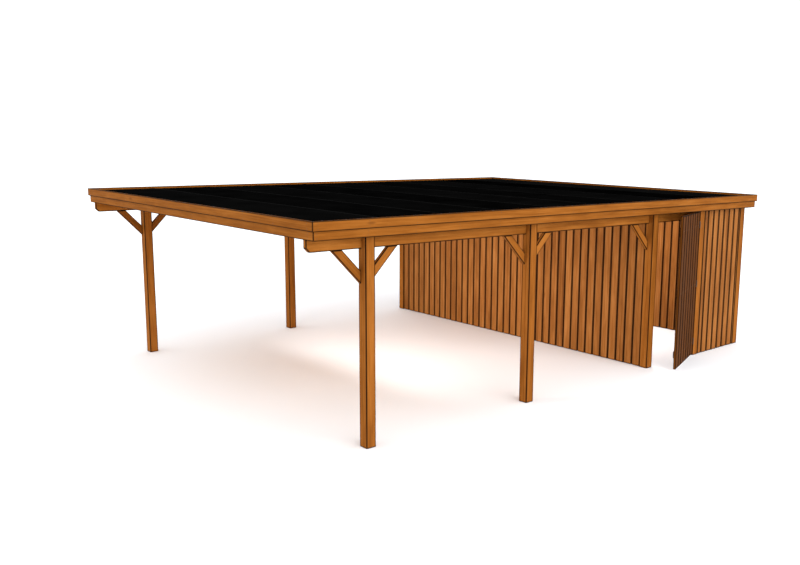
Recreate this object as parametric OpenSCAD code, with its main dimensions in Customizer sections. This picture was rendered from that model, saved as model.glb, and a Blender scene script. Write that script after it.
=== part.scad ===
// Double carport in timber, with a flat roof and a boarded shed across its rear end.
// The entrance faces -Y, the shed door is on the +X side, and the ground is at z = 0.
// The origin is on the ground at the centre of everything, the door that stands ajar included.
// The beams, rafters, deck and fascias all fall to the rear, and their upright faces stay plumb.
// Lengths are in millimetres and angles in degrees.

/* [Roof] */
// Width of the roof over its upper fascia boards
roof_w = 5760; // [4200:10:7200]
// Length of the roof over its upper fascia boards
roof_l = 8360; // [6800:10:10200]
// Height of the upper fascia's top edge at the front
roof_h = 2535; // [2100:5:3200]
// Fall of the roof to the rear, in millimetres for each metre of length
fall = 20; // [0:1:30]
// Thickness of the roof boards
deck_t = 16; // [12:1:25]
// Thickness of the roofing felt
felt_t = 4; // [2:1:8]
// Depth of the felt below the fascia's top edge
felt_recess = 30; // [10:5:60]
// Gap between the sloping faces of pieces that lie on one another
seat_gap = 0.2; // [0.1:0.1:0.8]

/* [Fascia] */
// Thickness of the fascia boards
fascia_t = 22; // [16:1:30]
// Height of the upper fascia boards
upper_fascia_h = 105; // [80:5:140]
// Height that the lower fascia boards show below the upper ones
lower_fascia_show = 95; // [60:5:120]

/* [Frame] */
// Width of the square posts
post_w = 125; // [95:5:160]
// From the roof's side edges in to the posts' outer faces
side_inset = 110; // [80:5:300]
// From the roof's front edge back to the front posts
front_inset = 736; // [500:2:1000]
// From the roof's rear edge in to the rear posts
rear_inset = 152; // [100:2:300]
// Thickness of the two long beams
beam_t = 50; // [40:5:60]
// Height of the two long beams
beam_h = 165; // [120:5:220]
// Chamfer under each beam's front end
beam_chamfer = 45; // [20:5:80]
// Thickness of the rafters
rafter_t = 45; // [36:1:60]
// Height of the rafters
rafter_h = 120; // [95:5:170]
// Largest distance from one rafter to the next
rafter_pitch = 650; // [400:10:900]

/* [Knee braces] */
// Thickness of a knee brace
brace_t = 45; // [30:1:50]
// Width of a knee brace across its slope
brace_w = 95; // [70:5:120]
// Length that a brace takes along the beam, and down the post
brace_leg = 375; // [250:5:500]

/* [Shed] */
// Length of the shed over its posts
shed_l = 2407; // [1900:1:3000]
// Thickness of the upright wall boards
wall_t = 28; // [20:1:40]
// From the posts' front faces back to the boards of the cross wall
wall_set_back = 10; // [0:1:30]
// Gap from the ground up to the wall boards
wall_foot_gap = 5; // [2:1:60]
// Height of the rails that hold the tops of the side walls
rail_h = 95; // [70:5:120]
// Thickness of the rail under the left beam
rail_t = 45; // [30:1:60]

/* [Door] */
// Width of the door leaf
door_w = 1020; // [700:5:1250]
// Thickness of the door leaf
door_t = 35; // [28:1:40]
// Angle at which the door stands open
door_ajar = 20; // [0:1:80]
// Gap from the ground up to the door leaf
door_foot_gap = 25; // [10:1:60]
// Gap from the door leaf up to the lower fascia
door_head_gap = 12; // [10:1:30]
// Gap between the door's free edge and the post it closes against
latch_gap = 7; // [7:1:12]
// Width of the ledges across the back of the door
ledge_w = 95; // [70:5:120]
// Thickness of the ledges and their diagonals
ledge_t = 20; // [15:1:25]
// From the leaf's edges in to the ledges' ends
ledge_inset = 40; // [35:5:80]
// From the leaf's top and foot in to the outer ledges
ledge_margin = 150; // [80:10:300]
// Width of the strip that the door closes against
stop_w = 45; // [30:1:50]
// Thickness of that strip
stop_t = 20; // [12:1:25]
// Gap between the closed leaf and the strip
stop_gap = 6; // [5:1:10]

/* [Hinges] */
// Radius of a hinge's knuckles, which is half the gap between leaf and jamb
knuckle_r = 6; // [6:0.5:8]
// Radius of a hinge's pin
pin_r = 3; // [2:0.5:4]
// Radial play of a knuckle on its pin
pin_play = 0.05; // [0.02:0.01:0.1]
// From the wall's outer face out to the hinge pins
pin_out = 10; // [10:1:14]
// Height of a hinge
hinge_h = 100; // [70:5:140]
// Thickness of a hinge's flaps
flap_t = 3; // [2:0.5:3]
// Width of a hinge's flaps
flap_w = 30; // [20:1:34]
// Gap between the upper and lower knuckles
knuckle_gap = 0.3; // [0.2:0.1:1]

/* [Hidden] */
// Cuts reach this far past the solids that they open
past = 1;

// Heights, each as it is over the roof's front edge
felt_top = roof_h - felt_recess;
felt_low = felt_top - felt_t;
deck_top = felt_low - seat_gap;
deck_low = deck_top - deck_t;
rafter_top = deck_low - seat_gap;
rafter_low = rafter_top - rafter_h;
beam_top = rafter_low - seat_gap;
beam_low = beam_top - beam_h;
under_beam = beam_low - seat_gap;
upper_low = roof_h - upper_fascia_h;
lower_low = upper_low - lower_fascia_show;

// The roof's plan: the ajar leaf's corner sets how far the whole reaches past the right fascia
leaf_corner_out = (door_w + knuckle_r) * sin(door_ajar) + pin_out * (1 - cos(door_ajar));
door_reach = max(0, leaf_corner_out - side_inset);
roof_left = -(roof_w + door_reach) / 2;
roof_right = roof_left + roof_w;
front_y = -roof_l / 2;
rear_y = roof_l / 2;
rim = 2 * fascia_t;

// The two rows of posts, by the outer face of each
left_face = roof_left + side_inset;
right_face = roof_right - side_inset;
left_post_x = left_face;
right_post_x = right_face - post_w;

// The front faces of the posts, from the front to the rear
front_post_y = front_y + front_inset;
rear_post_y = rear_y - rear_inset - post_w;
shed_post_y = rear_y - rear_inset - shed_l;
middle_post_y = (front_post_y + shed_post_y) / 2;
leaf_free_y = shed_post_y + post_w + latch_gap;
leaf_hinge_y = leaf_free_y + door_w;
jamb_y = leaf_hinge_y + 2 * knuckle_r;

// Walls
partition_y = shed_post_y + wall_set_back;
rear_wall_y = rear_post_y + post_w - wall_t;
inner_left = left_post_x + post_w;
inner_right = right_post_x;

// The door's hinge axis, and the upright places of its ledges and hinges
axis_x = right_face + pin_out;
axis_y = jamb_y - knuckle_r;
leaf_back = right_face - door_t;
leaf_top = lower_low - door_head_gap;
first_ledge = door_foot_gap + ledge_margin;
last_ledge = height(leaf_top, leaf_hinge_y) - ledge_margin - ledge_w;
ledge_feet = [first_ledge, (first_ledge + last_ledge) / 2, last_ledge];

wood = [0.72, 0.45, 0.18];
wood_shade = [0.62, 0.39, 0.16];
felt_black = [0.03, 0.03, 0.03];
zinc = [0.62, 0.64, 0.66];

// Height at y of a plane that is at z over the roof's front edge and falls with the roof
function height(z, y) = z - fall / 1000 * (y - front_y);

// A solid from x0 to x1 whose outline is given by points [y, z]
module across(x0, x1, points) {
    translate([x0, 0, 0])
        rotate([90, 0, 90])
            linear_extrude(height = x1 - x0)
                polygon(points);
}

// A solid whose foot and top both fall with the roof
module falling(x0, x1, y0, y1, low, top) {
    across(x0, x1, [
        [y0, height(low, y0)],
        [y1, height(low, y1)],
        [y1, height(top, y1)],
        [y0, height(top, y0)],
    ]);
}

// A solid that stands level at the foot, and whose top falls with the roof
module standing(x0, x1, y0, y1, foot, top) {
    across(x0, x1, [
        [y0, foot],
        [y1, foot],
        [y1, height(top, y1)],
        [y0, height(top, y0)],
    ]);
}

// A post up to the rafters, with a seat for the beam in the side of its head that is nearer -X
module post(x, y) {
    color(wood)
        difference() {
            standing(x, x + post_w, y, y + post_w, 0, beam_top);
            falling(x - past, x + beam_t, y - past, y + post_w + past, under_beam, beam_top + past);
        }
}

// A beam from behind the front fascia to the rear post's far face, its lower front corner cut off
module beam(x) {
    y0 = front_y + rim;
    y1 = rear_post_y + post_w;
    color(wood)
        across(x, x + beam_t, [
            [y0, height(beam_low, y0) + beam_chamfer],
            [y0 + beam_chamfer, height(beam_low, y0 + beam_chamfer)],
            [y1, height(beam_low, y1)],
            [y1, height(beam_top, y1)],
            [y0, height(beam_top, y0)],
        ]);
}

// A knee brace from the post face at y up to the beam; side is -1 towards the front, 1 to the rear
module brace(x, y, side) {
    inner_leg = brace_leg - brace_w * sqrt(2);
    outer_y = y + side * brace_leg;
    inner_y = y + side * inner_leg;
    color(wood)
        across(x, x + brace_t, [
            [y, height(under_beam, y) - brace_leg],
            [outer_y, height(under_beam, outer_y)],
            [inner_y, height(under_beam, inner_y)],
            [y, height(under_beam, y) - inner_leg],
        ]);
}

module fore_brace(x, post_y) {
    brace(x, post_y, -1);
}

module aft_brace(x, post_y) {
    brace(x, post_y + post_w, 1);
}

module rafter(y) {
    falling(roof_left + rim, roof_right - rim, y, y + rafter_t, rafter_low, rafter_top);
}

// Rafters from y0 to y1, evenly spaced and no further apart than the pitch
module rafter_run(y0, y1, first) {
    bays = ceil((y1 - y0) / rafter_pitch);
    color(wood_shade)
        for (i = [first:bays])
            rafter(y0 + i * (y1 - y0) / bays);
}

// From the front fascia to the rafter that carries the head of the cross wall
module rafters_carport() {
    rafter_run(front_y + rim, partition_y + wall_t, 0);
}

// From there to the rear wall, and one along the rear fascia
module rafters_shed() {
    rafter_run(partition_y + wall_t, rear_wall_y - rafter_t, 1);
    color(wood_shade)
        rafter(rear_y - rim - rafter_t);
}

module roof_deck() {
    color(wood_shade)
        falling(roof_left + rim, roof_right - rim, front_y + rim, rear_y - rim, deck_low, deck_top);
}

// The felt laps over the top edges of the lower fascia boards
module roof_felt() {
    color(felt_black)
        falling(
            roof_left + fascia_t, roof_right - fascia_t,
            front_y + fascia_t, rear_y - fascia_t, felt_low, felt_top
        );
}

// A fascia board across the roof, its outer face set in from the edge at y
module cross_fascia(y, set_in, low, top) {
    color(wood)
        falling(roof_left + set_in, roof_right - set_in, y, y + fascia_t, low, top);
}

// A fascia board along the roof, between the two that run across it
module side_fascia(x, set_in, low, top) {
    end = set_in + fascia_t;
    color(wood)
        falling(x, x + fascia_t, front_y + end, rear_y - end, low, top);
}

// The cross wall between carport and shed, up to the deck in front of its rafter
module partition_wall() {
    color(wood_shade)
        standing(inner_left, inner_right, partition_y, partition_y + wall_t, wall_foot_gap, rafter_top);
}

module rear_wall() {
    color(wood_shade)
        standing(inner_left, inner_right, rear_wall_y, rear_wall_y + wall_t, wall_foot_gap, rafter_top);
}

// The left wall stops under the beam, which is flush with its outer face
module left_wall() {
    color(wood)
        standing(left_face, left_face + wall_t, shed_post_y + post_w, rear_post_y, wall_foot_gap, under_beam);
}

// The right wall runs up past the beam to the rafters, from the door's jamb to the rear post
module right_wall() {
    color(wood)
        standing(right_face - wall_t, right_face, jamb_y + post_w, rear_post_y, wall_foot_gap, beam_top);
}

module left_wall_rail() {
    x0 = left_face + wall_t;
    color(wood_shade)
        falling(x0, x0 + rail_t, shed_post_y + post_w, rear_post_y, under_beam - rail_h, under_beam);
}

// The rail that fills the space between the right beam and the boards
module right_wall_rail() {
    color(wood_shade)
        falling(
            right_post_x + beam_t, right_face - wall_t,
            jamb_y + post_w, rear_post_y, beam_low, beam_low + rail_h
        );
}

// The strip on the shed post that the door closes against
module door_stop() {
    x1 = leaf_back - stop_gap;
    y0 = shed_post_y + post_w;
    color(wood_shade)
        standing(x1 - stop_w, x1, y0, y0 + stop_t, door_foot_gap, under_beam);
}

// What is drawn closed inside this turns with the door to where it stands ajar
module ajar() {
    translate([axis_x, axis_y, 0])
        rotate([0, 0, door_ajar])
            translate([-axis_x, -axis_y, 0])
                children();
}

module door_leaf() {
    color(wood)
        ajar()
            standing(leaf_back, right_face, leaf_free_y, leaf_hinge_y, door_foot_gap, leaf_top);
}

module door_ledges() {
    color(wood_shade)
        ajar()
            for (z = ledge_feet)
                translate([leaf_back - ledge_t, leaf_free_y + ledge_inset, z])
                    cube([ledge_t, door_w - 2 * ledge_inset, ledge_w]);
}

// Each diagonal rises from the hinge side of one ledge to the free side of the next
module door_diagonals() {
    foot_y = leaf_hinge_y - ledge_inset;
    head_y = leaf_free_y + ledge_inset;
    color(wood_shade)
        ajar()
            for (i = [0:1])
                across(leaf_back - ledge_t, leaf_back, [
                    [foot_y, ledge_feet[i] + ledge_w],
                    [foot_y - ledge_w, ledge_feet[i] + ledge_w],
                    [head_y, ledge_feet[i + 1]],
                    [head_y + ledge_w, ledge_feet[i + 1]],
                ]);
}

// Middle heights of the hinges, each behind a ledge's end
function hinge_heights() = [for (z = ledge_feet) z + ledge_w / 2];

// The fixed halves: a flap on the jamb, a lower knuckle and the pin that stands in it
module hinges_on_jamb() {
    color(zinc)
        for (z = hinge_heights()) {
            translate([right_face - flap_w, jamb_y - flap_t, z - hinge_h / 2])
                cube([flap_w, flap_t, hinge_h]);
            translate([right_face - past, jamb_y - flap_t, z - hinge_h / 2])
                cube([pin_out + past, flap_t, (hinge_h - knuckle_gap) / 2]);
            translate([axis_x, axis_y, z - hinge_h / 2])
                cylinder(r = knuckle_r, h = (hinge_h - knuckle_gap) / 2, $fn = 48);
            translate([axis_x, axis_y, z - hinge_h / 2])
                cylinder(r = pin_r, h = hinge_h, $fn = 48);
        }
}

// The turning halves: a flap on the leaf's edge and an upper knuckle over the pin
module hinges_on_leaf() {
    color(zinc)
        ajar()
            for (z = hinge_heights())
                difference() {
                    union() {
                        translate([right_face - flap_w, leaf_hinge_y, z - hinge_h / 2])
                            cube([flap_w, flap_t, hinge_h]);
                        translate([right_face - past, leaf_hinge_y, z + knuckle_gap / 2])
                            cube([pin_out + past, flap_t, (hinge_h - knuckle_gap) / 2]);
                        translate([axis_x, axis_y, z + knuckle_gap / 2])
                            cylinder(r = knuckle_r, h = (hinge_h - knuckle_gap) / 2, $fn = 48);
                    }
                    translate([axis_x, axis_y, z - past])
                        cylinder(r = pin_r + pin_play, h = hinge_h, $fn = 48);
                }
}

post(left_post_x, front_post_y);  // post_left_front
post(left_post_x, middle_post_y);  // post_left_middle
post(left_post_x, shed_post_y);  // post_left_shed
post(left_post_x, rear_post_y);  // post_left_rear
post(right_post_x, front_post_y);  // post_right_front
post(right_post_x, middle_post_y);  // post_right_middle
post(right_post_x, shed_post_y);  // post_right_shed
post(right_post_x, rear_post_y);  // post_right_rear
post(right_post_x, jamb_y);  // post_door_jamb
beam(left_post_x);  // beam_left
beam(right_post_x);  // beam_right
fore_brace(left_post_x, front_post_y);  // brace_left_front_fore
aft_brace(left_post_x, front_post_y);  // brace_left_front_aft
fore_brace(left_post_x, middle_post_y);  // brace_left_middle_fore
aft_brace(left_post_x, middle_post_y);  // brace_left_middle_aft
fore_brace(left_post_x, shed_post_y);  // brace_left_shed_fore
fore_brace(right_post_x, front_post_y);  // brace_right_front_fore
aft_brace(right_post_x, front_post_y);  // brace_right_front_aft
fore_brace(right_post_x, middle_post_y);  // brace_right_middle_fore
aft_brace(right_post_x, middle_post_y);  // brace_right_middle_aft
fore_brace(right_post_x, shed_post_y);  // brace_right_shed_fore
rafters_carport();
rafters_shed();
roof_deck();
roof_felt();
cross_fascia(front_y + fascia_t, fascia_t, lower_low, deck_top);  // lower_fascia_front
cross_fascia(rear_y - rim, fascia_t, lower_low, deck_top);  // lower_fascia_rear
side_fascia(roof_left + fascia_t, fascia_t, lower_low, deck_top);  // lower_fascia_left
side_fascia(roof_right - rim, fascia_t, lower_low, deck_top);  // lower_fascia_right
cross_fascia(front_y, 0, upper_low, roof_h);  // upper_fascia_front
cross_fascia(rear_y - fascia_t, 0, upper_low, roof_h);  // upper_fascia_rear
side_fascia(roof_left, 0, upper_low, roof_h);  // upper_fascia_left
side_fascia(roof_right - fascia_t, 0, upper_low, roof_h);  // upper_fascia_right
partition_wall();
left_wall();
right_wall();
rear_wall();
left_wall_rail();
right_wall_rail();
door_stop();
door_leaf();
door_ledges();
door_diagonals();
hinges_on_jamb();
hinges_on_leaf();
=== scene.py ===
import math
import random

import bmesh
import bpy
from mathutils import Matrix, Vector


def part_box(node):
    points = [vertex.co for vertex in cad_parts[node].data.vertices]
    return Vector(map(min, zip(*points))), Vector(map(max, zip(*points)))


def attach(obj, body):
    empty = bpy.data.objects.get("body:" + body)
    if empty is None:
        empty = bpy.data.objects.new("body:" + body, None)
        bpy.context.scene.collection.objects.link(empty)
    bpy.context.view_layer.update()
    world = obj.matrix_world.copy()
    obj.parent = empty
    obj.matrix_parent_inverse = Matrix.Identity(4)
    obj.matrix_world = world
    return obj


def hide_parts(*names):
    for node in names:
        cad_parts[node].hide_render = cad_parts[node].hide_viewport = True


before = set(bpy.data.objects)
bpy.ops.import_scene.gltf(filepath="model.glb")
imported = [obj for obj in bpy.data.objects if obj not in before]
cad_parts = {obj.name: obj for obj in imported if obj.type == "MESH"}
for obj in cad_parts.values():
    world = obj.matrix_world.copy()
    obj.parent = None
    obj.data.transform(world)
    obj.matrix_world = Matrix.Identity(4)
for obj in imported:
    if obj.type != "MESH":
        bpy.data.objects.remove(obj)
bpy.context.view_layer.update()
rng = random.Random(11)
alongX, alongY, upright = Vector((1, 0, 0)), Vector((0, 1, 0)), Vector((0, 0, 1))
outwards = dict(front=-alongY, rear=alongY, left=-alongX, right=alongX)
sides = ("left", "right")
roofFall = 0.02  # roof, beams and rails drop this much per metre towards the rear
tiny = 1e-6
print("frame loaded,", len(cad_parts), "nodes")


def linear(hexCode):  # sRGB hex to the linear colour that a shader wants
    parts = [int(hexCode[i:i + 2], 16) / 255 for i in (0, 2, 4)]
    return [p / 12.92 if p <= 0.04045 else ((p + 0.055) / 1.055) ** 2.4 for p in parts] + [1]


def addNode(tree, kind, settings, inputs):  # an input takes a value or another node's output
    node = tree.nodes.new("ShaderNode" + kind)
    for name, value in settings.items():
        if name == "stops":  # of a colour ramp, as (place, hex) pairs
            band = node.color_ramp.elements
            while len(band) < len(value):
                band.new(0.5)
            for element, (place, colour) in zip(band, value):
                element.position, element.color = place, linear(colour)
        else:
            setattr(node, name, value)
    for name, value in inputs.items():
        if isinstance(value, bpy.types.NodeSocket):
            tree.links.new(value, node.inputs[name])
        else:
            node.inputs[name].default_value = value
    return node


def newMaterial(name):
    material = bpy.data.materials.new(name)
    material.use_nodes = True
    tree = material.node_tree
    tree.nodes.clear()
    shader = addNode(tree, "BsdfPrincipled", {}, {})
    addNode(tree, "OutputMaterial", {}, {"Surface": shader.outputs["BSDF"]})
    return material, tree, shader


woodPatterns = dict(  # size is the length and width in mm, share is what it adds to the colour
    fibre=dict(size=(160, 4), detail=2, distortion=0.0, share=0.2),  # drawn ten times as coarse as real ones, to show
    patch=dict(size=(520, 120), detail=2, distortion=0.3, share=0.42),  # uneven soaking of the glaze
    streak=dict(size=(900, 34), detail=3, distortion=0.6, share=0.56))  # bands of darker and paler wood
woodRings = dict(width=8, squeeze=0.05, share=0.17, wander=3.2, detail=2.0, ripple=14)  # real ones are 3 mm, 8 to show
woodKnots = dict(size=(430, 118), rim=0.17, core=0.05, strength=0.6, rarity=0.62, colour="5d3311")
# joint is the near-black colour in the board gaps and along the arrises: glaze gathered there, and painted shade
glaze = dict(contrast=(0.42, 0.94), joint="0e0703", jointPatches=0.9, jointLeast=0.6, rough=(0.54, 0.72), bump=0.35,
             depth=0.0012, ringRelief=0.5, streakRelief=0.6, ior=1.45, specular=0.03)


def stainedSoftwood(name, pale, middle, dark):
    # Planed spruce brushed with a brown glaze: flowing streaks of early and late wood, cloudy patches
    # where the glaze soaked in, a few oval knots, and near-black in the board joints and gaps: glaze gathered there,
    # and painted shade.
    material, tree, shader = newMaterial(name)
    grain = addNode(tree, "Attribute", dict(attribute_name="grain"), {}).outputs["Vector"]
    tone = addNode(tree, "Attribute", dict(attribute_name="tone"), {}).outputs["Fac"]
    joint = addNode(tree, "Attribute", dict(attribute_name="joint"), {}).outputs["Fac"]

    ringScale = 2 * math.pi / (20 * woodRings["width"] / 1000)  # the wave texture turns 20 / 2 pi times in a unit
    flat = addNode(tree, "Mapping", {}, {"Vector": grain, "Scale": (woodRings["squeeze"], 1, 1)})
    rings = addNode(tree, "TexWave", dict(wave_type="RINGS", rings_direction="X", wave_profile="SAW"), {
        "Vector": flat.outputs["Vector"], "Scale": ringScale, "Distortion": woodRings["wander"],
        "Detail": woodRings["detail"], "Detail Scale": woodRings["ripple"] / ringScale}).outputs["Fac"]
    mixed = addNode(tree, "Math", dict(operation="MULTIPLY_ADD"), {0: rings, 1: woodRings["share"], 2: tone})
    pattern = {}
    for kind, look in woodPatterns.items():
        lengthMm, widthMm = look["size"]
        scale = (1000 / lengthMm, 1000 / widthMm, 1000 / widthMm)
        stretched = addNode(tree, "Mapping", {}, {"Vector": grain, "Scale": scale})
        pattern[kind] = addNode(tree, "TexNoise", {}, {
            "Vector": stretched.outputs["Vector"], "Scale": 1.0, "Detail": look["detail"], "Roughness": 0.55,
            "Distortion": look["distortion"]}).outputs[0]
        mixed = addNode(tree, "Math", dict(operation="MULTIPLY_ADD"), {
            0: pattern[kind], 1: look["share"], 2: mixed.outputs[0]})
    spread = addNode(tree, "MapRange", {}, {
        "Value": mixed.outputs[0], "From Min": glaze["contrast"][0], "From Max": glaze["contrast"][1]})
    colour = addNode(tree, "ValToRGB", dict(stops=[(0.0, dark), (0.5, middle), (1.0, pale)]), {
        "Fac": spread.outputs[0]})

    lengthMm, widthMm = woodKnots["size"]
    scale = (1000 / lengthMm, 1000 / widthMm, 1000 / widthMm)
    stretched = addNode(tree, "Mapping", {}, {"Vector": grain, "Scale": scale})
    cell = addNode(tree, "TexVoronoi", dict(feature="F1"), {
        "Vector": stretched.outputs["Vector"], "Scale": 1.0, "Randomness": 0.9})
    oval = addNode(tree, "MapRange", {}, {
        "Value": cell.outputs["Distance"], "From Min": woodKnots["rim"], "From Max": woodKnots["core"],
        "To Max": woodKnots["strength"]})
    lot = addNode(tree, "SeparateColor", {}, {"Color": cell.outputs["Color"]})
    drawn = addNode(tree, "Math", dict(operation="GREATER_THAN"), {0: lot.outputs[0], 1: woodKnots["rarity"]})
    knot = addNode(tree, "Math", dict(operation="MULTIPLY"), {0: oval.outputs[0], 1: drawn.outputs[0]})
    knotted = addNode(tree, "Mix", dict(data_type="RGBA"), {
        0: knot.outputs[0], 6: colour.outputs["Color"], 7: linear(woodKnots["colour"])})

    # the joint mask darkens gaps and arrises: partly gathered glaze, partly painted shade
    uneven = addNode(tree, "Math", dict(operation="MULTIPLY_ADD"), {
        0: pattern["patch"], 1: glaze["jointPatches"], 2: glaze["jointLeast"]})
    stainAndShade = addNode(tree, "Math", dict(operation="MULTIPLY", use_clamp=True), {0: joint, 1: uneven.outputs[0]})
    stainedAndShaded = addNode(tree, "Mix", dict(data_type="RGBA"), {
        0: stainAndShade.outputs[0], 6: knotted.outputs[2], 7: linear(glaze["joint"])})
    rough = addNode(tree, "MapRange", {}, {
        "Value": pattern["streak"], "To Min": glaze["rough"][0], "To Max": glaze["rough"][1]})
    raised = addNode(tree, "Math", dict(operation="MULTIPLY_ADD"), {
        0: rings, 1: glaze["ringRelief"], 2: pattern["fibre"]})
    raised = addNode(tree, "Math", dict(operation="MULTIPLY_ADD"), {
        0: pattern["streak"], 1: glaze["streakRelief"], 2: raised.outputs[0]})
    bump = addNode(tree, "Bump", {}, {
        "Height": raised.outputs[0], "Strength": glaze["bump"], "Distance": glaze["depth"]})
    tree.links.new(stainedAndShaded.outputs[2], shader.inputs["Base Color"])
    tree.links.new(rough.outputs[0], shader.inputs["Roughness"])
    tree.links.new(bump.outputs[0], shader.inputs["Normal"])
    shader.inputs["IOR"].default_value = glaze["ior"]
    shader.inputs["Specular IOR Level"].default_value = glaze["specular"]
    return material


# the bead colour is a painted sheen on the glossy bitumen, paler than the felt
feltLook = dict(grit=14, lump=420, gritShare=0.6, lumpShare=0.4, stops=[(0.25, "010101"), (0.8, "0c0c0c")],
                sheenBead="2c2c2c", bump=0.4, depth=0.002)  # grit and lump in mm


def bitumenFelt():
    # Torched bitumen felt with slate grit: dead black, matt and a little lumpy, with a bead of bitumen at each lap
    # painted paler as its sheen
    material, tree, shader = newMaterial("felt_bitumen_slate_grit")
    place = addNode(tree, "TexCoord", {}, {}).outputs["Object"]
    tone = addNode(tree, "Attribute", dict(attribute_name="tone"), {}).outputs["Fac"]  # one roll is not quite another
    sheenBead = addNode(tree, "Attribute", dict(attribute_name="joint"), {}).outputs["Fac"]  # bitumen squeezed out at a lap, coloured paler as a painted sheen
    grit = addNode(tree, "TexNoise", {}, {  # 1 mm grit, drawn as coarse as it shows
        "Vector": place, "Scale": 1000 / feltLook["grit"], "Detail": 3})
    lump = addNode(tree, "TexNoise", {}, {"Vector": place, "Scale": 1000 / feltLook["lump"], "Detail": 2})
    part = addNode(tree, "Math", dict(operation="MULTIPLY"), {0: lump.outputs[0], 1: feltLook["lumpShare"]})
    mixed = addNode(tree, "Math", dict(operation="MULTIPLY_ADD"), {
        0: grit.outputs[0], 1: feltLook["gritShare"], 2: part.outputs[0]})
    toned = addNode(tree, "Math", dict(operation="ADD"), {0: mixed.outputs[0], 1: tone})
    black = addNode(tree, "ValToRGB", dict(stops=feltLook["stops"]), {"Fac": toned.outputs[0]})
    beaded = addNode(tree, "Mix", dict(data_type="RGBA"), {
        0: sheenBead, 6: black.outputs["Color"], 7: linear(feltLook["sheenBead"])})
    bump = addNode(tree, "Bump", {}, {
        "Height": mixed.outputs[0], "Strength": feltLook["bump"], "Distance": feltLook["depth"]})
    tree.links.new(beaded.outputs[2], shader.inputs["Base Color"])
    tree.links.new(bump.outputs[0], shader.inputs["Normal"])
    shader.inputs["Roughness"].default_value = 1.0
    shader.inputs["Specular IOR Level"].default_value = 0.0
    return material


steelLook = dict(cloud=12, swing=0.1)  # the cloud is 12 mm across


def steelFinish(name, dark, pale, metallic, rough):
    # Pressed or forged steel with a thin finish: a faint cloud in it, and shinier where the cloud is thin
    material, tree, shader = newMaterial(name)
    place = addNode(tree, "TexCoord", {}, {}).outputs["Object"]
    cloud = addNode(tree, "TexNoise", {}, {"Vector": place, "Scale": 1000 / steelLook["cloud"], "Detail": 3}).outputs[0]
    colour = addNode(tree, "ValToRGB", dict(stops=[(0.3, dark), (0.7, pale)]), {"Fac": cloud})
    shine = addNode(tree, "MapRange", {}, {
        "Value": cloud, "To Min": rough - steelLook["swing"], "To Max": rough + steelLook["swing"]})
    tree.links.new(colour.outputs["Color"], shader.inputs["Base Color"])
    tree.links.new(shine.outputs[0], shader.inputs["Roughness"])
    shader.inputs["Metallic"].default_value = metallic
    return material


postWood = stainedSoftwood("spruce_glazed_frame", "a06328", "854d19", "61340d")
# the beams' wood is painted paler than the posts', as painted light against the shade under the fascias
beamWoodPaintedLight = stainedSoftwood("spruce_glazed_beams_painted_lighter", "aa6b2d", "8e541d", "69390f")
faceWood = stainedSoftwood("spruce_glazed_fascia", "9c6127", "824b17", "5f330c")
boardWood = stainedSoftwood("spruce_glazed_boards", "a46b37", "8b5526", "653815")
doorWood = stainedSoftwood("spruce_glazed_door", "623510", "522c08", "3a1e05")
roofWood = stainedSoftwood("spruce_planed_roof", "d9a869", "c58f50", "a06d35")
felt = bitumenFelt()
hingeSteel = steelFinish("steel_painted_brown", "2e2018", "3f2d22", 0.0, 0.5)
screwSteel = steelFinish("steel_waxed_brown", "4a3626", "6b4f38", 0.6, 0.45)
boltSteel = steelFinish("steel_zinc_plated", "8f9294", "b6b9bb", 1.0, 0.4)
print("materials made")


edges = dict(flat=0.4, sharp=20, most=0.3)  # two angles in degrees, and the widest band as a share of its face


def solidOf(name):  # a merged copy of a CAD node, its flat faces whole
    bm = bmesh.new()
    bm.from_mesh(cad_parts[name].data)
    bmesh.ops.remove_doubles(bm, verts=bm.verts, dist=tiny * 10)
    bmesh.ops.dissolve_limit(bm, angle_limit=math.radians(edges["flat"]), verts=bm.verts, edges=bm.edges)
    bm.verts.layers.float.new("joint")
    return bm


def easeEdges(bm, width, band, segments=2):  # rounds every arris and darkens it, fading over a band: glaze gathered on the arris, and painted shade where it flanks a joint or lies under a step
    for f in bm.faces[:]:
        narrow = f.calc_area() / max(e.calc_length() for e in f.edges)
        bmesh.ops.inset_individual(bm, faces=[f], thickness=min(width + band, narrow * edges["most"]),
                                   use_even_offset=True)
    sharp = [e for e in bm.edges if e.is_manifold and e.calc_face_angle(0) > math.radians(edges["sharp"])]
    made = bmesh.ops.bevel(bm, geom=sharp, offset=width, offset_type="OFFSET", affect="EDGES", segments=segments,
                           profile=0.5, material=-1, clamp_overlap=True)
    stainAndShade = bm.verts.layers.float["joint"]
    for v in made["verts"]:
        v[stainAndShade] = 1.0


def slicePlane(bm, point, normal, clear):  # cuts along a plane, and may clear what lies beyond
    return bmesh.ops.bisect_plane(bm, geom=bm.verts[:] + bm.edges[:] + bm.faces[:], dist=tiny, plane_co=point,
                                  plane_no=normal, clear_outer=clear)


def sawOff(bm, point, outward):  # takes off what lies beyond a plane, and closes the cut
    rim = [g for g in slicePlane(bm, point, outward, True)["geom_cut"] if isinstance(g, bmesh.types.BMEdge)]
    if rim:
        bmesh.ops.holes_fill(bm, edges=rim, sides=0)


def keepBetween(bm, along, low, high):  # what lies between two places along a direction
    sawOff(bm, along * low, -along)
    sawOff(bm, along * high, along)
    return bm


def gather(whole, part):  # adds one solid to a piece
    scrap = bpy.data.meshes.new("scrap")
    part.to_mesh(scrap)
    part.free()
    whole.from_mesh(scrap)
    bpy.data.meshes.remove(scrap)


def islands(bm):  # the separate solids of a piece, as lists of their corners
    left = set(bm.verts)
    while left:
        found, todo = set(), [left.pop()]
        while todo:
            v = todo.pop()
            found.add(v)
            for e in v.link_edges:
                other = e.other_vert(v)
                if other in left:
                    left.discard(other)
                    todo.append(other)
        yield sorted(found, key=lambda v: v.index)


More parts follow.
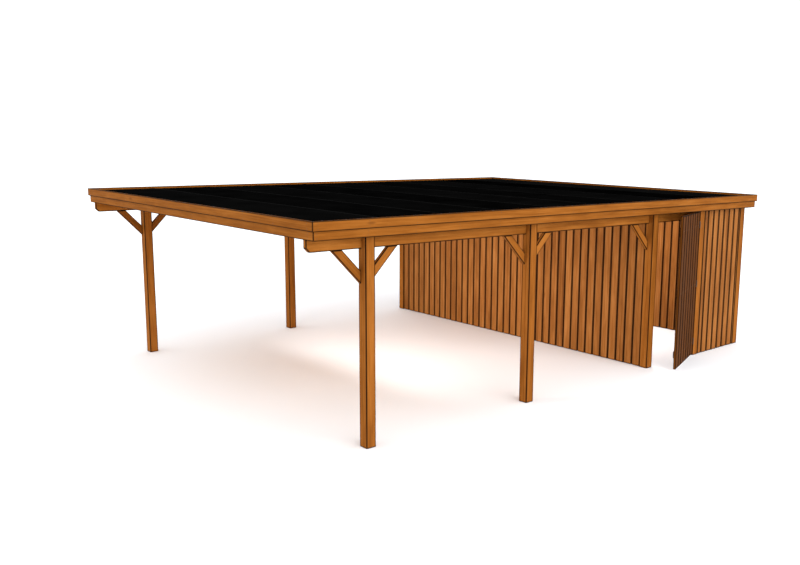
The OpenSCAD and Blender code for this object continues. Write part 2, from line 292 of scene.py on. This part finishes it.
def centresOf(name):  # the middle of each solid in a CAD node
    bm = solidOf(name)
    middles = [sum((v.co for v in stick), Vector()) / len(stick) for stick in islands(bm)]
    bm.free()
    return sorted(middles, key=lambda c: (c.y, c.z))


log = dict(slide=9, aside=0.07, near=0.03, far=0.11, upright=0.9)  # how far from the pith, in metres, a stick was sawn


def layGrain(bm, toneSpread):  # each stick's own length, breadth and place in the log, and its own tone
    grain = bm.verts.layers.float_vector.new("grain")
    tone = bm.verts.layers.float.new("tone")
    bm.verts.index_update()
    for stick in sorted(islands(bm), key=lambda s: s[0].index):
        longest = max((e for v in stick for e in v.link_edges), key=lambda e: e.calc_length())
        along = (longest.verts[0].co - longest.verts[1].co).normalized()
        if along[max(range(3), key=lambda i: abs(along[i]))] < 0:
            along.negate()
        across = along.cross(upright if abs(along.z) < log["upright"] else alongY).normalized()
        third = along.cross(across)
        middle = sum((v.co for v in stick), Vector()) / len(stick)
        fromPith = Vector((rng.uniform(-log["slide"], log["slide"]), rng.uniform(-log["aside"], log["aside"]),
                           rng.uniform(log["near"], log["far"])))
        own = rng.gauss(0, toneSpread)
        for v in stick:
            place = v.co - middle
            v[grain] = Vector((place.dot(along), place.dot(across), place.dot(third))) + fromPith
            v[tone] = own


def newObject(name, bm, material):  # a finished mesh in its own object at the origin
    mesh = bpy.data.meshes.new(name)
    bm.to_mesh(mesh)
    bm.free()
    mesh.materials.append(material)
    thing = bpy.data.objects.new(name, mesh)
    bpy.context.scene.collection.objects.link(thing)
    return thing


def addPiece(name, bm, material, slot, body, *nodes, toneSpread=0.035):
    layGrain(bm, toneSpread)
    piece = newObject(name, bm, material)
    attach(piece, body)
    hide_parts(*nodes)


headMesh = dict(around=14, over=8, sides=10, taper=0.8)


def addHeads(name, spots, head, material, body):  # screw or bolt heads, a little sunk in the wood
    whole = bmesh.new()
    for point, outward in spots:
        part = bmesh.new()
        if head["domed"]:
            bmesh.ops.create_uvsphere(part, u_segments=headMesh["around"], v_segments=headMesh["over"],
                                      radius=head["radius"])
            bmesh.ops.scale(part, verts=part.verts, vec=(1, 1, head["rise"] / head["radius"]))
        else:
            bmesh.ops.create_cone(part, cap_ends=True, segments=headMesh["sides"], radius1=head["radius"],
                                  radius2=head["radius"] * headMesh["taper"], depth=head["rise"] * 2)
        turn = outward.to_track_quat("Z", "Y").to_matrix().to_4x4()
        bmesh.ops.transform(part, verts=part.verts, matrix=Matrix.Translation(point) @ turn)
        gather(whole, part)
    piece = newObject(name, whole, material)
    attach(piece, body)


frameTimber = dict(arris=0.005, band=0.011, braceArris=0.004, braceBand=0.009, notchBand=0.013)
for name in sorted(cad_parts):
    if name.startswith(("post_", "beam_")):
        bm = solidOf(name)
        easeEdges(bm, frameTimber["arris"], frameTimber["band"])
        if name.startswith("post_"):  # the dark arris band of stain and painted shade is left off where the beam is let in
            stainAndShade = bm.verts.layers.float["joint"]
            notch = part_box("beam_left" if "left" in name else "beam_right")[1].x
            for v in bm.verts:
                if abs(v.co.x - notch) < frameTimber["notchBand"]:
                    v[stainAndShade] = 0.0
        # the beams take the paler wood: painted light against the shade under the fascias
        wood = beamWoodPaintedLight if name.startswith("beam_") else postWood
        addPiece("timber_" + name, bm, wood, "frame_timber", "frame", name)
    if name.startswith("brace_"):
        bm = solidOf(name)
        easeEdges(bm, frameTimber["braceArris"], frameTimber["braceBand"])
        addPiece("timber_" + name, bm, postWood, "brace_timber", "frame", name)

carriageBolt = dict(radius=0.013, rise=0.005, domed=True, apart=0.075, beamHeight=0.165)
spots = []
for side in sides:  # two bolts through the beam into each post, heads on the beam's face
    beamLow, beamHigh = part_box("beam_" + side)
    for place in ("front", "middle", "shed", "rear"):
        low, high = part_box("post_%s_%s" % (side, place))
        y = (low.y + high.y) / 2
        z = beamHigh.z - carriageBolt["beamHeight"] / 2 - roofFall * (y - beamLow.y)
        spots += [(Vector((beamLow.x, y, z + up)), -alongX)
                  for up in (-carriageBolt["apart"] / 2, carriageBolt["apart"] / 2)]
addHeads("bolts_beams", spots, carriageBolt, boltSteel, "frame")

braceScrew = dict(radius=0.0065, rise=0.0012, domed=False, fromEnd=0.075)
spots = []
for name in sorted(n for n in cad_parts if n.startswith("brace_")):
    bm = solidOf(name)
    lower = min(bm.faces, key=lambda f: f.normal.z * f.calc_area())  # the long face that looks down
    longest = max(lower.edges, key=lambda e: e.calc_length())
    along = (longest.verts[0].co - longest.verts[1].co).normalized()
    reach = longest.calc_length() / 2 - braceScrew["fromEnd"]
    middle, outward = lower.calc_center_median(), lower.normal.copy()
    spots += [(middle + along * reach, outward), (middle - along * reach, outward)]
    bm.free()
addHeads("screws_braces", spots, braceScrew, screwSteel, "frame")
print("frame timber made")

rafters = dict(arris=0.002, band=0.004)
for name in ("rafters_carport", "rafters_shed"):
    bm = solidOf(name)
    easeEdges(bm, rafters["arris"], rafters["band"], 1)
    addPiece("timber_" + name, bm, roofWood, "rafter_timber", "frame", name)

deck = dict(boards=47, vee=0.003, band=0.003, play=0.001)
low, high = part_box("roof_deck")
width = (high.x - low.x) / deck["boards"]
whole = bmesh.new()
for i in range(deck["boards"]):
    start = low.x + i * width
    part = keepBetween(solidOf("roof_deck"), alongX, start + deck["play"] / 2, start + width - deck["play"] / 2)
    easeEdges(part, deck["vee"], deck["band"], 1)
    gather(whole, part)
addPiece("boards_roof_deck", whole, roofWood, "deck_boards", "frame", "roof_deck")

feltSheets = dict(width=0.925, lap=0.075, rise=0.0035, feather=0.012, sheenBead=0.014, least=0.01)
low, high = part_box("roof_felt")
whole = bmesh.new()
edge = low.y
while edge < high.y - feltSheets["least"]:
    last = min(edge + feltSheets["width"], high.y)
    end = min(last + feltSheets["lap"], high.y)
    part = keepBetween(solidOf("roof_felt"), alongY, edge, end)
    if end > last:  # the rear end climbs onto the next sheet, with a bead of bitumen along its edge, painted paler as its sheen
        for place in (last - feltSheets["feather"], last, end - feltSheets["sheenBead"]):
            slicePlane(part, alongY * place, alongY, False)
        sheenBead = part.verts.layers.float["joint"]
        for v in part.verts:
            if v.co.y > last - tiny * 10:
                v.co.z += feltSheets["rise"]
            if v.co.y > end - tiny * 10:
                v[sheenBead] = 1.0
    gather(whole, part)
    edge = last
addPiece("sheets_roof_felt", whole, felt, "roofing_felt", "frame", "roof_felt", toneSpread=0.1)

fascias = dict(arris=0.003, band=0.011, thickness=0.022, upperHeight=0.105)
for level in ("lower", "upper"):
    boxes = [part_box(level + "_fascia_" + side) for side in outwards]
    low, high = Vector(map(min, *(b[0] for b in boxes))), Vector(map(max, *(b[1] for b in boxes)))
    for side, outward in outwards.items():
        name = level + "_fascia_" + side
        bm = solidOf(name)
        if side in sides:  # the side boards run on to the corners, where all four are mitred
            for v in bm.verts:
                v.co.y += math.copysign(fascias["thickness"], v.co.y - (low.y + high.y) / 2)
        along = Vector((abs(outward.y), abs(outward.x), 0))
        for toEnd in (-along, along):
            corner = outward + toEnd
            point = Vector((high.x if corner.x > 0 else low.x, high.y if corner.y > 0 else low.y, 0))
            sawOff(bm, point, toEnd - outward)
        easeEdges(bm, fascias["arris"], fascias["band"])
        addPiece("board_" + name, bm, faceWood, "fascia_boards", "frame", name)

fasciaScrew = dict(radius=0.0045, rise=0.0008, domed=False, inset=0.026, fromCorner=0.1, count=10)
rafterRows = [c.y for name in ("rafters_carport", "rafters_shed") for c in centresOf(name)]
spots = []
for level in ("lower", "upper"):
    for side, outward in outwards.items():
        low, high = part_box(level + "_fascia_" + side)
        face = high if side in ("rear", "right") else low
        overLow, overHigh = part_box("upper_fascia_" + side)
        if side in sides:  # one pair of screws at each rafter
            slope, points = roofFall, [(face.x, y) for y in rafterRows]
            head = high.z if level == "upper" else overHigh.z - fascias["upperHeight"]
        else:
            step = (high.x - low.x - 2 * fasciaScrew["fromCorner"]) / (fasciaScrew["count"] - 1)
            slope = 0
            points = [(low.x + fasciaScrew["fromCorner"] + i * step, face.y) for i in range(fasciaScrew["count"])]
            head = high.z if level == "upper" else min(high.z, overLow.z)
        foot = low.z + slope * (high.y - low.y)  # the board's lower edge at its front end
        for x, y in points:
            down = slope * (y - low.y)
            spots += [(Vector((x, y, z - down)), outward) for z in
                      (foot + fasciaScrew["inset"], head - fasciaScrew["inset"])]
addHeads("screws_fascias", spots, fasciaScrew, screwSteel, "frame")
print("roof made")


def boardWall(name, across, through, cuts, style):
    # boards cut from the wall's solid, with a shadow gap closed by a tongue in the middle of the thickness
    whole = bmesh.new()
    whole.verts.layers.float.new("joint")
    depths = [v.co.dot(through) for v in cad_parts[name].data.vertices]
    middle, half = (min(depths) + max(depths)) / 2, style["gap"] / 2
    for i in range(len(cuts) - 1):
        start = cuts[i] + (half if i or style["endGaps"] else 0)
        end = cuts[i + 1] - (half if i < len(cuts) - 2 or style["endGaps"] else 0)
        board = keepBetween(solidOf(name), across, start, end)
        easeEdges(board, style["arris"], min(style["band"], (end - start) * edges["most"]), 1)
        gather(whole, board)
    # each gap's tongue is painted near-black all over: painted shade deep in the gap, with glaze gathered there
    for place in cuts if style["endGaps"] else cuts[1:-1]:
        strip = keepBetween(solidOf(name), across, place - half, place + half)
        keepBetween(strip, through, middle - style["tongue"] / 2, middle + style["tongue"] / 2)
        stainAndShade = strip.verts.layers.float["joint"]
        for v in strip.verts:
            v[stainAndShade] = 1.0
        gather(whole, strip)
    return whole


wallBoards = dict(crossCount=37, gap=0.018, arris=0.003, band=0.011, tongue=0.008, endGaps=True)
for name in ("partition_wall", "rear_wall"):
    low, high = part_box(name)
    step = (high.x - low.x) / wallBoards["crossCount"]
    cuts = [low.x + i * step for i in range(wallBoards["crossCount"] + 1)]
    bm = boardWall(name, alongX, alongY, cuts, wallBoards)
    addPiece("boards_" + name, bm, boardWood, "wall_boards", "frame", name)

# the side walls' joints are a little wider than the others, with a broader dark band along them of stain and painted
# shade
sideBoards = dict(pitch=0.142, lastSliver=0.039, leastCut=0.02, gap=0.022, arris=0.003, band=0.015, tongue=0.008,
                  endGaps=True)
for side in sides:
    name = side + "_wall"
    low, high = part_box(name)
    cuts = [high.y, high.y - sideBoards["lastSliver"]]
    while cuts[-1] - sideBoards["pitch"] > low.y + sideBoards["leastCut"]:
        cuts.append(cuts[-1] - sideBoards["pitch"])
    bm = boardWall(name, alongY, alongX, sorted(cuts + [low.y]), sideBoards)
    addPiece("boards_" + name, bm, boardWood, "wall_boards", "frame", name)
for name in ("left_wall_rail", "right_wall_rail", "door_stop"):
    bm = solidOf(name)
    easeEdges(bm, rafters["arris"], rafters["band"])
    addPiece("rail_" + name, bm, boardWood, "wall_boards" if name == "door_stop" else "frame_timber", "frame", name)

wallScrew = dict(radius=0.0045, rise=0.0008, domed=False, inset=0.03)
spots = []
for side in sides:  # two to a board, in line with the rail behind
    low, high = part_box(side + "_wall")
    railLow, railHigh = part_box(side + "_wall_rail")
    edge = high.y - sideBoards["lastSliver"]
    while edge > low.y + 2 * wallScrew["inset"]:
        for y in (edge - wallScrew["inset"], max(edge - sideBoards["pitch"], low.y) + wallScrew["inset"]):
            z = (railLow.z + railHigh.z) / 2 - roofFall * (y - (railLow.y + railHigh.y) / 2)
            spots.append((Vector((low.x if side == "left" else high.x, y, z)), outwards[side]))
        edge -= sideBoards["pitch"]
addHeads("screws_side_walls", spots, wallScrew, screwSteel, "frame")
print("walls made")

leaf = dict(boards=7, ajar=math.radians(20), gap=0.022, arris=0.003, band=0.020, tongue=0.009, endGaps=False,
            battenArris=0.003, battenBand=0.005, screwShares=(0.27, 0.73))
across = Vector((math.sin(leaf["ajar"]), -math.cos(leaf["ajar"]), 0))  # from the hinges to the free edge
through = Vector((math.cos(leaf["ajar"]), math.sin(leaf["ajar"]), 0))  # out through the leaf's face
reach = [v.co.dot(across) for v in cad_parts["door_leaf"].data.vertices]
step = (max(reach) - min(reach)) / leaf["boards"]
bm = boardWall("door_leaf", across, through, [min(reach) + i * step for i in range(leaf["boards"] + 1)], leaf)
addPiece("boards_door_leaf", bm, doorWood, "door_boards", "door", "door_leaf")
for name in ("door_ledges", "door_diagonals"):
    bm = solidOf(name)
    easeEdges(bm, leaf["battenArris"], leaf["battenBand"], 1)
    addPiece("timber_" + name, bm, doorWood, "door_battens", "door", name)
spots = []
face = max(v.co.dot(through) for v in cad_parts["door_leaf"].data.vertices)
for ledge in centresOf("door_ledges"):
    for i in range(leaf["boards"]):
        for share in leaf["screwShares"]:
            place = min(reach) + (i + share) * step
            spots.append((across * place + through * face + upright * ledge.z, through))
addHeads("screws_door", spots, wallScrew, screwSteel, "door")
for name in ("hinges_on_jamb", "hinges_on_leaf"):
    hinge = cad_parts[name]
    hinge.data.materials.clear()
    hinge.data.materials.append(hingeSteel)
print("door made")

floor = dict(size=400, colour="f6f8fb")
material, tree, shader = newMaterial("floor_matt_paper")
shader.inputs["Base Color"].default_value = linear(floor["colour"])
shader.inputs["Roughness"].default_value = 1.0
shader.inputs["Specular IOR Level"].default_value = 0.0
bm = bmesh.new()
bmesh.ops.create_grid(bm, x_segments=1, y_segments=1, size=floor["size"] / 2)
newObject("studioFloor", bm, material)

sky = dict(colour=(1, 1, 1, 1), strength=1.3)
world = bpy.data.worlds.new("studioWorld")
bpy.context.scene.world = world
world.use_nodes = True
world.node_tree.nodes["Background"].inputs["Color"].default_value = sky["colour"]
world.node_tree.nodes["Background"].inputs["Strength"].default_value = sky["strength"]

lamps = [dict(azimuth=85, height=18, strength=2.35, spread=60), dict(azimuth=0, height=8, strength=0.4, spread=60)]
for i, lamp in enumerate(lamps):  # azimuth 0 stands in front and 90 to the right
    sun = bpy.data.objects.new("softLamp%d" % i, bpy.data.lights.new("softLamp%d" % i, "SUN"))
    bpy.context.scene.collection.objects.link(sun)
    sun.data.energy = lamp["strength"]
    sun.data.angle = math.radians(lamp["spread"])
    a, h = math.radians(lamp["azimuth"]), math.radians(lamp["height"])
    back = Vector((math.sin(a) * math.cos(h), -math.cos(a) * math.cos(h), math.sin(h)))
    sun.rotation_mode = "QUATERNION"
    sun.rotation_quaternion = back.to_track_quat("Z", "Y")

underRoof = [  # two broad soft lamps fill the bay and the shed, as the white floor outside fills the rest
    dict(name="bayLamp", place=(-0.12, -2.9, 1.25), size=(3.4, 0.6), power=60, tilt=88, spread=100),
    dict(name="shedLamp", place=(-0.12, 2.8, 2.13), size=(4.8, 1.9), power=130, tilt=0, spread=180)]
for lamp in underRoof:
    area = bpy.data.objects.new(lamp["name"], bpy.data.lights.new(lamp["name"], "AREA"))
    bpy.context.scene.collection.objects.link(area)
    area.data.shape, area.data.energy = "RECTANGLE", lamp["power"]
    area.data.size, area.data.size_y = lamp["size"]
    area.data.spread = math.radians(lamp["spread"])
    area.location = lamp["place"]
    area.rotation_euler = (math.radians(lamp["tilt"]), 0, 0)
    area.visible_camera = False

eye = dict(place=(10.0404, -9.1361, 3.5053), azimuth=50.20, down=10.159, lens=40.73, sensor=36, sight=500)
camera = bpy.data.objects.new("camera", bpy.data.cameras.new("camera"))
bpy.context.scene.collection.objects.link(camera)
camera.data.lens = eye["lens"]
camera.data.sensor_width = eye["sensor"]
camera.data.clip_end = eye["sight"]
camera.location = eye["place"]
camera.rotation_euler = (math.radians(90 - eye["down"]), 0, math.radians(eye["azimuth"]))
bpy.context.scene.camera = camera
bpy.context.scene.view_settings.view_transform = "Standard"
bpy.context.scene.view_settings.look = "None"
print("studio made")
